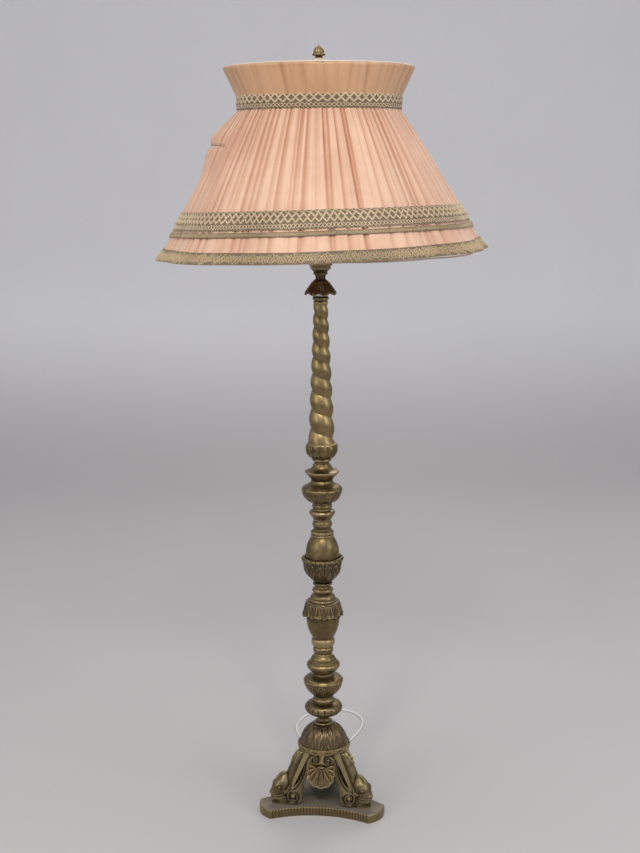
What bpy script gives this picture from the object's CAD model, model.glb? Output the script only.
"""Candlestick floor lamp: the finish and the fine forms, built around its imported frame."""

import math
import random

import bmesh
import bpy
from mathutils import Matrix, Vector


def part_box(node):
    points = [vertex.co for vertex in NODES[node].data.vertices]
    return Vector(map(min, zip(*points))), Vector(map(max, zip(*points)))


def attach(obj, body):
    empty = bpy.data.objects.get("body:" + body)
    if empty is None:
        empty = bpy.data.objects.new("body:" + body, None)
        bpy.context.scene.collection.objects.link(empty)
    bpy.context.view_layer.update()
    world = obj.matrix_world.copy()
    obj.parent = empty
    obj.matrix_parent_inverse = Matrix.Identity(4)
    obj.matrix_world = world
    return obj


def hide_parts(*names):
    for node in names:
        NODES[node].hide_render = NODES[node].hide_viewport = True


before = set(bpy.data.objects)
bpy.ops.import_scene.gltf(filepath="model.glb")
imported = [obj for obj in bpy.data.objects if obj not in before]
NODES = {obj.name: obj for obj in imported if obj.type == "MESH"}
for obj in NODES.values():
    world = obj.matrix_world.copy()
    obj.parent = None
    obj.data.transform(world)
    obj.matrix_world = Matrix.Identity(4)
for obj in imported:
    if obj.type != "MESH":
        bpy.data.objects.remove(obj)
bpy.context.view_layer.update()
MM = 0.001
TAU = 2 * math.pi


# ---- camera ----------------------------------------------------------------

# The photograph's camera: level distance from the lamp's axis, height, tilt and lens, in metres and degrees
CAMERA_DISTANCE = 2.919
CAMERA_HEIGHT = 1.486
CAMERA_AZIMUTH = 6.6
CAMERA_TILT = 11.5
CAMERA_ROLL = -0.43
CAMERA_YAW = 0.068
FOCAL_PIXELS = 1350
IMAGE_HEIGHT = 853
SENSOR = 36


def rotation(degrees, axis="Z", size=4):
    return Matrix.Rotation(math.radians(degrees), size, axis)


def photo_camera():
    data = bpy.data.cameras.new("photo_camera")
    data.sensor_width = SENSOR
    data.lens = FOCAL_PIXELS * SENSOR / IMAGE_HEIGHT
    data.clip_end = 200
    camera = bpy.data.objects.new("photo_camera", data)
    bpy.context.scene.collection.objects.link(camera)
    place = rotation(CAMERA_AZIMUTH) @ Vector((0, -CAMERA_DISTANCE, CAMERA_HEIGHT))
    aim = rotation(CAMERA_AZIMUTH + CAMERA_YAW) @ rotation(90 - CAMERA_TILT, "X") @ rotation(CAMERA_ROLL)
    camera.matrix_world = Matrix.Translation(place) @ aim
    bpy.context.scene.camera = camera


# ---- shapes from operators ---------------------------------------------------

# Faces round a plain turned piece, and the angle from which an edge shows as sharp
SPIN_STEPS = 120
SHARP = math.radians(38)


def smooth_line(points, steps=5):
    """Points on a smooth curve through the given ones, with a number of steps from each to the next."""
    points = [Vector(p) for p in points]
    line = []
    for i in range(len(points) - 1):
        a, b = points[max(i - 1, 0)], points[i]
        c, d = points[i + 1], points[min(i + 2, len(points) - 1)]
        for k in range(steps):
            t = k / steps
            line.append(0.5 * (2 * b + (c - a) * t + (2 * a - 5 * b + 4 * c - d) * t * t
                               + (3 * b - a - 3 * c + d) * t ** 3))
    return line + [points[-1]]


def soften(points, radius=0.6 * MM, limit=22):
    """Rounds the corners of an outline that turn by more than limit degrees."""
    points = [Vector(p) for p in points]
    out = [points[0]]
    for before, here, after in zip(points, points[1:], points[2:]):
        a, b = before - here, after - here
        if a.length < 1e-7 or b.length < 1e-7:
            continue
        if math.degrees(a.angle(b)) > 180 - limit:
            out.append(here)
            continue
        reach = min(radius, 0.4 * a.length, 0.4 * b.length)
        start, end = here + a.normalized() * reach, here + b.normalized() * reach
        out += [start, 0.25 * start + 0.5 * here + 0.25 * end, end]
    return out + [points[-1]]


def even_rows(outline, length):
    """The outline with points added so that none of its steps is longer than length."""
    outline = [Vector(p) for p in outline]
    out = [outline[0]]
    for a, b in zip(outline, outline[1:]):
        count = max(1, math.ceil((b - a).length / length))
        out += [a.lerp(b, (i + 1) / count) for i in range(count)]
    return out


def line_mesh(bm, points, closed=False):
    verts = [bm.verts.new(p) for p in points]
    pairs = list(zip(verts, verts[1:])) + ([(verts[-1], verts[0])] if closed else [])
    return verts, [bm.edges.new(pair) for pair in pairs]


def spun(bm, outline, steps=SPIN_STEPS, closed=True):
    """Spins an outline of (radius, height) points right round the lamp's axis."""
    verts, edges = line_mesh(bm, [(p[0], 0, p[1]) for p in outline], closed)
    bmesh.ops.spin(bm, geom=verts + edges, cent=(0, 0, 0), axis=(0, 0, 1), dvec=(0, 0, 0),
                   angle=TAU, steps=steps, use_merge=True, use_duplicate=False)


def carve(bm, shape):
    """Moves all vertices: shape(radius, angle, height) gives the new radius and height."""
    for v in bm.verts:
        r, a = math.hypot(v.co.x, v.co.y), math.atan2(v.co.y, v.co.x)
        new_r, new_z = shape(r, a, v.co.z)
        if r > 1e-7:
            v.co.x *= new_r / r
            v.co.y *= new_r / r
        v.co.z = new_z


def verts_in(geom):
    return [g for g in geom if isinstance(g, bmesh.types.BMVert)]


def next_ring(bm, edges, places):
    """Extrudes a ring of edges to new places, and returns the new ring's edges."""
    made = bmesh.ops.extrude_edge_only(bm, edges=edges)["geom"]
    ring = verts_in(made)
    for v, place in zip(ring, places):
        v.co = place
    return [g for g in made if isinstance(g, bmesh.types.BMEdge) and all(v in ring for v in g.verts)]


def outwards(p):
    return Vector((p.x, p.y, 0)).normalized()


def sweep(bm, path, section, closed=False, scale=None, up=Vector((0, 0, 1))):
    """Extrudes a section of (across, outward) points along a path. up is the side that outward faces."""
    path = [Vector(p) for p in path]
    count = len(path)
    first = edges = None
    for i, here in enumerate(path):
        after = path[(i + 1) % count] if closed else path[min(i + 1, count - 1)]
        before = path[i - 1] if closed or i else path[0]
        ahead = (after - before).normalized()
        across = ahead.cross(up(here) if callable(up) else up).normalized()
        out = across.cross(ahead)
        size = scale(i / (count - 1)) if scale else 1
        places = [here + (across * q[0] + out * q[1]) * size for q in section]
        if first is None:
            first = edges = line_mesh(bm, places, True)[1]
        else:
            edges = next_ring(bm, edges, places)
    if closed:
        bmesh.ops.bridge_loops(bm, edges=first + edges)
    else:
        bmesh.ops.contextual_create(bm, geom=first)
        bmesh.ops.contextual_create(bm, geom=edges)


def round_section(radius, sides=6, flat=1.0):
    turns = [TAU * k / sides for k in range(sides)]
    return [(radius * math.cos(a), radius * flat * math.sin(a)) for a in turns]


def patch(bm, across, along, place):
    """A sheet of across by along faces. place(u, v), both from 0 to 1, gives each corner's point."""
    for v in bmesh.ops.create_grid(bm, x_segments=across, y_segments=along, size=0.5)["verts"]:
        v.co = Vector(place(v.co.x + 0.5, v.co.y + 0.5))


def slab(bm, outline, depth, bevel=0.0, segments=2):
    """A flat outline of (x, y) points made depth thick along +Z, with its front edge beveled."""
    face = bm.faces.new([bm.verts.new((p[0], p[1], 0)) for p in outline])
    front = verts_in(bmesh.ops.extrude_face_region(bm, geom=[face])["geom"])
    bmesh.ops.translate(bm, vec=(0, 0, depth), verts=front)
    rim = [e for e in bm.edges if all(v in front for v in e.verts)]
    if bevel:
        bmesh.ops.bevel(bm, geom=rim, offset=bevel, segments=segments, affect="EDGES", profile=0.5,
                        material=-1, clamp_overlap=True)


def moved(bm, matrix, made_before=()):
    """Applies a matrix to all vertices but those made before."""
    bmesh.ops.transform(bm, matrix=matrix, verts=[v for v in bm.verts if v not in made_before])


def boss(bm, radius, matrix):
    start = set(bm.verts)
    bmesh.ops.create_uvsphere(bm, u_segments=20, v_segments=12, radius=radius)
    moved(bm, matrix, start)


def piece(name, bm, body, material, stands_for=(), sharp=SHARP):
    """Makes the finished object from a bmesh and puts it on its body."""
    bmesh.ops.remove_doubles(bm, verts=bm.verts, dist=1e-6)
    bmesh.ops.recalc_face_normals(bm, faces=bm.faces)
    for f in bm.faces:
        f.smooth = True
    for e in bm.edges:
        e.smooth = not (len(e.link_faces) == 2 and e.calc_face_angle(0) > sharp)
    mesh = bpy.data.meshes.new(name)
    bm.to_mesh(mesh)
    bm.free()
    obj = bpy.data.objects.new(name, mesh)
    bpy.context.scene.collection.objects.link(obj)
    mesh.materials.append(material)
    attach(obj, body)
    if stands_for:
        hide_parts(*stands_for)
    return obj


def reach(node):
    """Greatest distance of a CAD node from the lamp's axis."""
    return max(math.hypot(v.co.x, v.co.y) for v in NODES[node].data.vertices)


# ---- shader groups and materials ----------------------------------------------

def new_group(name, inputs, outputs):
    """An empty shader group with named sockets: inputs give a default value, outputs a socket type."""
    group = bpy.data.node_groups.new(name, "ShaderNodeTree")
    for label, value in inputs.items():
        kind = "NodeSocketColor" if hasattr(value, "__len__") else "NodeSocketFloat"
        socket = group.interface.new_socket(name=label, in_out="INPUT", socket_type=kind)
        socket.default_value = (*value, 1) if hasattr(value, "__len__") else value
    for label, kind in outputs.items():
        group.interface.new_socket(name=label, in_out="OUTPUT", socket_type=kind)
    return group


class Graph:
    """Short ways to add and join shader nodes."""

    def __init__(self, tree):
        self.tree = tree

    def add(self, kind, **settings):
        node = self.tree.nodes.new(kind)
        for key, value in settings.items():
            setattr(node, key, value)
        return node

    def set(self, socket, value):
        if isinstance(value, bpy.types.NodeSocket):
            self.tree.links.new(value, socket)
        elif hasattr(value, "__len__") and len(value) == 3 and socket.type == "RGBA":
            socket.default_value = (*value, 1)
        else:
            socket.default_value = value

    def math(self, operation, a, b=0.0, clamp=False):
        node = self.add("ShaderNodeMath", operation=operation, use_clamp=clamp)
        self.set(node.inputs[0], a)
        self.set(node.inputs[1], b)
        return node.outputs[0]

    def noise(self, vector, scale, detail=3.0, roughness=0.55):
        node = self.add("ShaderNodeTexNoise")
        self.set(node.inputs["Vector"], vector)
        self.set(node.inputs["Scale"], scale)
        node.inputs["Detail"].default_value = detail
        node.inputs["Roughness"].default_value = roughness
        return node.outputs["Fac"]

    def ramp(self, value, low, high, smooth=True):
        """0 at low, 1 at high."""
        node = self.add("ShaderNodeMapRange", interpolation_type="SMOOTHSTEP" if smooth else "LINEAR")
        self.set(node.inputs["Value"], value)
        node.inputs["From Min"].default_value = low
        node.inputs["From Max"].default_value = high
        return node.outputs[0]

    def mix(self, share, a, b):
        node = self.add("ShaderNodeMix", data_type="RGBA")
        self.set(node.inputs["Factor"], share)
        self.set(node.inputs["A"], a)
        self.set(node.inputs["B"], b)
        return node.outputs["Result"]

    def blend(self, share, a, b):
        node = self.add("ShaderNodeMix", data_type="FLOAT")
        self.set(node.inputs["Factor"], share)
        self.set(node.inputs["A"], a)
        self.set(node.inputs["B"], b)
        return node.outputs["Result"]


# What lies on faces that look up
DUST = (0.25, 0.215, 0.17)


def patina_group():
    """Old cast brass: dark in the hollows, rubbed bright on the edges, cloudy between."""
    group = new_group("aged_brass", {
        "Patina": (0.2, 0.14, 0.06), "Hollow": (0.03, 0.02, 0.01), "Rubbed": (0.6, 0.46, 0.22),
        "Tarnish": (0.08, 0.075, 0.045), "Wear": 0.6, "Grain": 1.0, "Dust": 0.0,
    }, {"Color": "NodeSocketColor", "Roughness": "NodeSocketFloat", "Metallic": "NodeSocketFloat",
        "Height": "NodeSocketFloat"})
    g = Graph(group)
    given, out = g.add("NodeGroupInput").outputs, g.add("NodeGroupOutput").inputs
    place = g.add("ShaderNodeTexCoord").outputs["Object"]
    surface = g.add("ShaderNodeNewGeometry").outputs
    bend = surface["Pointiness"]
    clouds = g.noise(place, 24, 4)
    stain = g.noise(place, 75, 5, 0.65)
    grain = g.noise(place, 620, 3, 0.7)
    uneven_bend = g.math("ADD", bend, g.math("MULTIPLY", g.math("SUBTRACT", stain, 0.5), 0.05))
    hollow = g.ramp(uneven_bend, 0.495, 0.455)
    edge = g.ramp(uneven_bend, 0.503, 0.54)
    worn = g.math("MULTIPLY", edge, given["Wear"], True)
    body = g.mix(g.ramp(clouds, 0.35, 0.68), given["Patina"], given["Tarnish"])
    fine = g.mix(g.ramp(grain, 0.3, 0.75), body, given["Patina"])
    shaded = g.mix(g.math("MULTIPLY", hollow, 0.9), fine, given["Hollow"])
    facing = g.add("ShaderNodeSeparateXYZ")
    g.set(facing.inputs[0], surface["Normal"])
    lying = g.math("MULTIPLY", g.ramp(facing.outputs["Z"], 0.75, 1.0), given["Dust"], True)
    dust = g.math("MULTIPLY", lying, g.blend(stain, 0.7, 1.0))
    g.set(out["Color"], g.mix(dust, g.mix(worn, shaded, given["Rubbed"]), DUST))
    rough = g.blend(worn, g.blend(hollow, g.math("ADD", g.math("MULTIPLY", stain, 0.2), 0.22), 0.65), 0.24)
    g.set(out["Roughness"], g.blend(dust, rough, 0.85))
    metal = g.blend(hollow, g.blend(g.ramp(stain, 0.4, 0.75), 0.95, 0.62), 0.3)
    g.set(out["Metallic"], g.blend(dust, g.blend(worn, metal, 1.0), 0.0))
    height = g.math("ADD", g.math("MULTIPLY", grain, 0.35), stain)
    g.set(out["Height"], g.math("MULTIPLY", height, given["Grain"]))
    return group


def weave_group():
    """Woven threads on a UV map in metres: fine warp and weft with slubs along them."""
    group = new_group("woven_threads", {"Threads": 900.0, "Slub": 0.5}, {
        "Thread": "NodeSocketFloat", "Slubs": "NodeSocketFloat"})
    g = Graph(group)
    given, out = g.add("NodeGroupInput").outputs, g.add("NodeGroupOutput").inputs
    uv = g.add("ShaderNodeUVMap").outputs[0]
    split = g.add("ShaderNodeSeparateXYZ")
    g.set(split.inputs[0], uv)
    turns = g.math("MULTIPLY", given["Threads"], TAU)
    warp = g.math("SINE", g.math("MULTIPLY", split.outputs[0], turns))
    weft = g.math("SINE", g.math("MULTIPLY", split.outputs[1], turns))
    g.set(out["Thread"], g.math("ADD", g.math("MULTIPLY", g.math("MULTIPLY", warp, weft), 0.5), 0.5))
    stretch = g.add("ShaderNodeMapping")
    g.set(stretch.inputs["Vector"], uv)
    stretch.inputs["Scale"].default_value = (14.0, 1.0, 1.0)
    slubs = g.noise(stretch.outputs[0], 60, 4, 0.6)
    g.set(out["Slubs"], g.math("MULTIPLY", g.math("SUBTRACT", slubs, 0.5), given["Slub"]))
    return group


GROUPS = {}


def group_in(g, name, **values):
    """Places one of the shared groups in a material, with its own values."""
    node = g.add("ShaderNodeGroup", node_tree=GROUPS[name])
    for label, value in values.items():
        g.set(node.inputs[label], value)
    return node.outputs


def new_material(name):
    material = bpy.data.materials.new(name)
    material.use_nodes = True
    g = Graph(material.node_tree)
    return material, g, material.node_tree.nodes["Principled BSDF"]


def bump(g, shader, height, strength, distance):
    node = g.add("ShaderNodeBump")
    node.inputs["Strength"].default_value = strength
    node.inputs["Distance"].default_value = distance
    g.set(node.inputs["Height"], height)
    g.set(shader.inputs["Normal"], node.outputs[0])


def brass(name, patina, hollow, rubbed, tarnish, wear=0.6, grain=1.0, dust=0.0):
    """Old cast brass or plated steel, with its own colours for the body, hollows, edges and tarnish."""
    material, g, shader = new_material(name)
    made = group_in(g, "aged_brass", Patina=patina, Hollow=hollow, Rubbed=rubbed, Tarnish=tarnish,
                    Wear=wear, Grain=grain, Dust=dust)
    g.set(shader.inputs["Base Color"], made["Color"])
    g.set(shader.inputs["Roughness"], made["Roughness"])
    g.set(shader.inputs["Metallic"], made["Metallic"])
    bump(g, shader, made["Height"], 0.35, 0.0006)
    return material


def cloth(name, colour, shadow, threads=900.0, slub=0.5, sheen=0.35, rough=0.62, relief=0.25, folds=0.0):
    """Fabric whose colour drifts in soft patches, with threads and slubs, and darker in its folds."""
    material, g, shader = new_material(name)
    made = group_in(g, "woven_threads", Threads=threads, Slub=slub)
    place = g.add("ShaderNodeTexCoord").outputs["Object"]
    patches = g.ramp(g.noise(place, 9, 3), 0.35, 0.7)
    tone = g.mix(g.math("MULTIPLY", patches, 0.35), colour, shadow)
    threads_dark = g.math("MULTIPLY", g.math("SUBTRACT", 1.0, made["Thread"]), 0.18)
    dark = g.math("ADD", threads_dark, g.math("ABSOLUTE", made["Slubs"]), True)
    if folds:
        crease = g.add("ShaderNodeAttribute", attribute_name="fold").outputs["Fac"]
        dark = g.math("ADD", dark, g.math("MULTIPLY", g.ramp(crease, 0.12, 0.95, False), folds), True)
    g.set(shader.inputs["Base Color"], g.mix(dark, tone, shadow))
    g.set(shader.inputs["Roughness"], g.math("ADD", g.math("MULTIPLY", made["Thread"], -0.08), rough))
    shader.inputs["Sheen Weight"].default_value = sheen
    shader.inputs["Sheen Roughness"].default_value = 0.4
    shader.inputs["Sheen Tint"].default_value = (1.0, 0.92, 0.84, 1)
    bump(g, shader, g.math("ADD", made["Thread"], g.math("MULTIPLY", made["Slubs"], 4.0)), relief, 0.0004)
    return material


def moulded(name, colour, rough, coat=0.0, metallic=0.0):
    """Plain moulded plastic, rubber or plated metal with a slight mottle and dust."""
    material, g, shader = new_material(name)
    place = g.add("ShaderNodeTexCoord").outputs["Object"]
    mottle = g.noise(place, 160, 4)
    dust = g.ramp(g.noise(place, 45, 3), 0.5, 0.8)
    darker = tuple(0.82 * c for c in colour)
    g.set(shader.inputs["Base Color"], g.mix(g.math("MULTIPLY", dust, 0.4), colour, darker))
    g.set(shader.inputs["Roughness"], g.math("ADD", g.math("MULTIPLY", mottle, 0.24), rough - 0.12))
    shader.inputs["Metallic"].default_value = metallic
    shader.inputs["Coat Weight"].default_value = coat
    bump(g, shader, mottle, 0.15, 0.0003)
    return material


def pearl_glass(name):
    material, g, shader = new_material(name)
    place = g.add("ShaderNodeTexCoord").outputs["Object"]
    frost = g.noise(place, 300, 3)
    g.set(shader.inputs["Base Color"], g.mix(frost, (0.93, 0.92, 0.88), (0.86, 0.84, 0.78)))
    g.set(shader.inputs["Roughness"], g.math("ADD", g.math("MULTIPLY", frost, 0.12), 0.32))
    shader.inputs["Transmission Weight"].default_value = 0.35
    shader.inputs["IOR"].default_value = 1.48
    shader.inputs["Coat Weight"].default_value = 0.5
    shader.inputs["Coat Roughness"].default_value = 0.12
    return material


def make_materials():
    GROUPS["aged_brass"] = patina_group()
    GROUPS["woven_threads"] = weave_group()
    return {
        "brass": brass("old_brass", (0.165, 0.115, 0.05), (0.018, 0.012, 0.007), (0.6, 0.46, 0.24),
                       (0.085, 0.063, 0.034)),
        "column": brass("rubbed_brass", (0.27, 0.195, 0.085), (0.03, 0.02, 0.01), (0.68, 0.52, 0.27),
                        (0.15, 0.11, 0.055)),
        "foot": brass("foot_brass", (0.12, 0.088, 0.043), (0.015, 0.011, 0.007), (0.5, 0.38, 0.2),
                      (0.075, 0.058, 0.034), wear=0.3, dust=0.75),
        "dark": brass("dark_brass", (0.105, 0.073, 0.036), (0.013, 0.009, 0.006), (0.45, 0.34, 0.18),
                      (0.055, 0.041, 0.024), wear=0.5),
        "bright": brass("bright_brass", (0.5, 0.38, 0.16), (0.1, 0.07, 0.03), (0.85, 0.68, 0.36),
                        (0.36, 0.28, 0.13), wear=0.8, grain=0.4),
        "steel": brass("threaded_steel", (0.42, 0.41, 0.39), (0.1, 0.09, 0.08), (0.75, 0.74, 0.72),
                       (0.3, 0.28, 0.25), wear=0.5, grain=0.5),
        "wire": cloth("taped_wire", (0.72, 0.62, 0.5), (0.5, 0.4, 0.3), threads=600.0),
        "silk": cloth("peach_silk", (0.85, 0.57, 0.41), (0.46, 0.2, 0.11), slub=0.9, folds=0.85),
        "collar": cloth("collar_silk", (0.76, 0.46, 0.26), (0.38, 0.18, 0.09), slub=0.7, folds=0.6),
        "braid": cloth("braid_ground", (0.2, 0.14, 0.075), (0.07, 0.045, 0.022), threads=700.0, slub=0.8,
                       sheen=0.2, rough=0.5, relief=0.6),
        "gimp": cloth("dull_gold_cord", (0.64, 0.48, 0.28), (0.13, 0.08, 0.04), threads=800.0, slub=0.8,
                      sheen=0.2, rough=0.45, relief=0.6),
        "gold": cloth("gold_cord", (0.76, 0.6, 0.4), (0.34, 0.22, 0.11), threads=800.0, slub=0.6,
                      sheen=0.25, rough=0.42, relief=0.6),
        "glass": pearl_glass("pearl_glass"),
        "bushing": moulded("dark_bushing", (0.035, 0.03, 0.027), 0.55),
        "cord": moulded("white_cord", (0.82, 0.82, 0.78), 0.42),
        "plug": moulded("white_plug", (0.84, 0.84, 0.8), 0.3, coat=0.2),
        "pins": moulded("plug_pins", (0.6, 0.55, 0.42), 0.25, metallic=1.0),
    }


# ---- cord ----------------------------------------------------------------------

CORD_D = 5 * MM
FLOOR_Z = CORD_D / 2
COIL_CENTRE = (-25 * MM, 215 * MM)
COIL_R = 40 * MM
COIL_TURNS = 7.5
COIL_PITCH = CORD_D + 0.45 * MM

# The cord's way in mm: down inside the foot, out between the back legs, round on the floor and to the coil
CORD_ROUTE = [
    (0, 0, 114), (0, 0, 104), (-2, 1, 94), (-8, 5, 82), (-20, 12, 64), (-35, 20, 46), (-50, 29, 32),
    (-62, 36, 24.5), (-71, 41, 23.4), (-79, 46, 20), (-88, 52, 12), (-97, 60, 5), (-104, 72, 2.5),
    (-108, 90, 2.5), (-108, 115, 2.5), (-107, 140, 2.5), (-105, 170, 2.5),
    (-102, 205, 2.5), (-97, 240, 2.5), (-93, 270, 2.5), (-92, 300, 2.5),
    (-97, 328, 2.5), (-107, 352, 2.5), (-115, 378, 2.5), (-118, 408, 2.5),
    (-114, 440, 2.5), (-103, 470, 2.5), (-84, 494, 2.5), (-58, 511, 2.5),
    (-30, 519, 2.5), (-2, 517, 2.5), (22, 504, 2.5), (41, 483, 2.5), (51, 457, 2.5),
    (53, 430, 2.5), (50, 400, 2.5), (43, 370, 2.5), (34, 340, 2.5), (26, 312, 2.5),
    (20, 285, 2.5), (16, 258, 2.5), (15, 236, 2.5), (15, 226, 2.5), (15, 220, 2.5),
]


def coil_point(turn):
    """In along the floor, up a layer at the middle and out again on top."""
    half = COIL_TURNS / 2
    r = COIL_R - COIL_PITCH * min(turn, COIL_TURNS - turn)
    lift = min(1, max(0, (turn - half + 0.25) / 0.5))
    a = -TAU * turn
    return Vector((COIL_CENTRE[0] + r * math.cos(a), COIL_CENTRE[1] + r * math.sin(a),
                   FLOOR_Z + COIL_PITCH * (3 - 2 * lift) * lift * lift))


def cord_points():
    run = smooth_line([Vector(p) * MM for p in CORD_ROUTE], 4)
    coil = [coil_point(i / 32) for i in range(int(COIL_TURNS * 32) + 1)]
    tail = coil[-1] + Vector((0, 2 * CORD_D, 0))
    return run + coil + [coil[-1] + Vector((0, CORD_D, 0)), tail]


def mains_cord(materials, with_pieces):
    points = cord_points()
    curve = bpy.data.curves.new("mains_cord", "CURVE")
    curve.dimensions = "3D"
    curve.bevel_depth = CORD_D / 2
    curve.bevel_resolution = 3
    curve.use_fill_caps = True
    spline = curve.splines.new("POLY")
    spline.points.add(len(points) - 1)
    for p, place in zip(spline.points, points):
        p.co = (*place, 1)
    cord = bpy.data.objects.new("mains_cord", curve)
    bpy.context.scene.collection.objects.link(cord)
    curve.materials.append(materials["cord"])
    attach(cord, "stand")
    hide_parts("cord_run", "cord_coil")


def mains_plug(materials):
    """Flat two-pin plug with rounded sides, a waist for the fingers and a ribbed strain relief."""
    low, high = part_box("plug")
    middle = Vector(((low.x + high.x) / 2, 0, (low.z + high.z) / 2))
    relief, pin_length, pin_gap = 22 * MM, 19 * MM, 18.6 * MM
    body_low, body_high = low.y + relief, high.y - pin_length
    half_w, half_t = (high.x - low.x) / 2, (high.z - low.z) / 2
    bm = bmesh.new()
    waist = [(0, 0.62), (0.12, 0.9), (0.3, 0.96), (0.5, 0.82), (0.72, 0.88), (0.88, 1), (1, 0.97)]
    side = smooth_line([(w * half_w, body_low + t * (body_high - body_low)) for t, w in waist], 3)
    outline = [(p[0], p[1]) for p in side] + [(-p[0], p[1]) for p in reversed(side)]
    slab(bm, outline, 2 * half_t)
    rims = [e for e in bm.edges if abs(e.verts[0].co.z - e.verts[1].co.z) < 1e-7]
    bmesh.ops.bevel(bm, geom=rims, offset=2.2 * MM, segments=4, affect="EDGES", profile=0.5, material=-1,
                    clamp_overlap=True)
    moved(bm, Matrix.Translation((middle.x, 0, middle.z - half_t)))
    ribs = [(CORD_D / 2 + (0.8 + 1.9 * t) * MM - (0.7 * MM if k % 2 else 0), low.y + t * (relief + MM))
            for k, t in enumerate([i / 12 for i in range(13)])]
    start = set(bm.verts)
    spun(bm, [(CORD_D / 2, low.y)] + ribs + [(CORD_D / 2, low.y + relief + MM)], 24)
    moved(bm, Matrix.Translation((middle.x, 0, middle.z)) @ rotation(-90, "X"), start)
    plug = piece("mains_plug", bm, "stand", materials["plug"], ["plug"])
    bm = bmesh.new()
    for s in (-1, 1):
        start = set(bm.verts)
        pin = soften([(0, body_high - MM), (2 * MM, body_high - MM), (2 * MM, high.y), (0, high.y)], 0.9 * MM)
        spun(bm, pin, 20, closed=False)
        moved(bm, Matrix.Translation((middle.x + s * pin_gap / 2, 0, middle.z)) @ rotation(-90, "X"), start)
    metal = piece("plug_pins", bm, "stand", materials["pins"])
    return [plug, metal]


# ---- stem ------------------------------------------------------------------------

BORE = 5.2 * MM
# Height of the rows of faces on a piece with relief
RELIEF_ROW = 1.6 * MM


def gadroons(count, depth, low, high, sharp=0.6, turn=0.0):
    """Round lobes with narrow grooves between them, which fade towards two heights."""
    def shape(a, share):
        fade = min(1, max(0, (share - low) / 0.12)) * min(1, max(0, (high - share) / 0.12))
        groove = 1 - abs(math.sin(count * (a - turn) / 2)) ** sharp
        return -depth * groove * fade
    return shape


def leaf_height(u, v, veins=4.5, steep=1.3):
    """Relief of an upright leaf, 0 to 1: u is -1 to 1 across it, and v 0 at its root and 1 at its tip."""
    width = 0.98 * max(0.0, math.sin(math.pi * (0.1 + 0.86 * v))) ** 0.45
    width *= 1 - 0.14 * (0.5 + 0.5 * math.cos(TAU * (veins * v + 0.5)))
    if width < 0.02:
        return 0.0
    inside = min(1.0, max(0.0, (width - abs(u)) / 0.16))
    rib = 0.34 * math.exp(-(u / 0.1) ** 2)
    vein = 0.18 * math.cos(TAU * (veins * v - steep * abs(u))) * min(1, abs(u) / 0.2)
    return inside * (0.62 + 0.26 * (1 - (u / width) ** 2) + vein - rib)


def leaves(count, depth, low, high, flip=False, veins=4.5, steep=1.3):
    """A row of leaves round a piece, with the tips of a lower second row between them."""
    second = 0.6

    def shape(a, share):
        v = (share - low) / (high - low)
        if not 0 <= v <= 1:
            return 0.0 if flip else -depth * (0 if v < 0 else 0.4)
        v = 1 - v if flip else v
        u = ((a * count / TAU) % 1) * 2 - 1
        other = ((a * count / TAU + 0.5) % 1) * 2 - 1
        behind = second * leaf_height(other, min(1.0, v * 1.12), veins, steep)
        return depth * (min(1.0, max(leaf_height(u, v, veins, steep), behind)) - 1)
    return shape


def stem_piece(name, node, outline, materials, relief=None, steps=SPIN_STEPS, key="brass",
               drop=None):
    """A turned or cast piece of the stem, whose outline is in shares of its CAD node's radius and height."""
    low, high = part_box(node)
    radius, height = reach(node), high.z - low.z
    line = [Vector((p[0] * radius, low.z + p[1] * height)) for p in outline]
    line = soften([(BORE, line[0][1])] + line + [(BORE, line[-1][1])])
    if relief:
        line = even_rows(line, RELIEF_ROW)
    bm = bmesh.new()
    spun(bm, line, steps)
    if relief:
        def shape(r, a, z):
            share = (z - low.z) / height
            change = relief(a, share) * min(1, max(0, (r - BORE - 3 * MM) / (4 * MM)))
            return r + change, z + (drop(a, share) if drop else 0)
        carve(bm, shape)
    return piece(name, bm, "stand", materials[key], [node])


def line(*parts):
    """Joins outline parts: a list stays as it is, and a tuple of points becomes a smooth curve."""
    out = []
    for part in parts:
        points = smooth_line(part) if isinstance(part, tuple) else [Vector(p) for p in part]
        out += points if not out or (out[-1] - points[0]).length > 1e-6 else points[1:]
    return out


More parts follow.
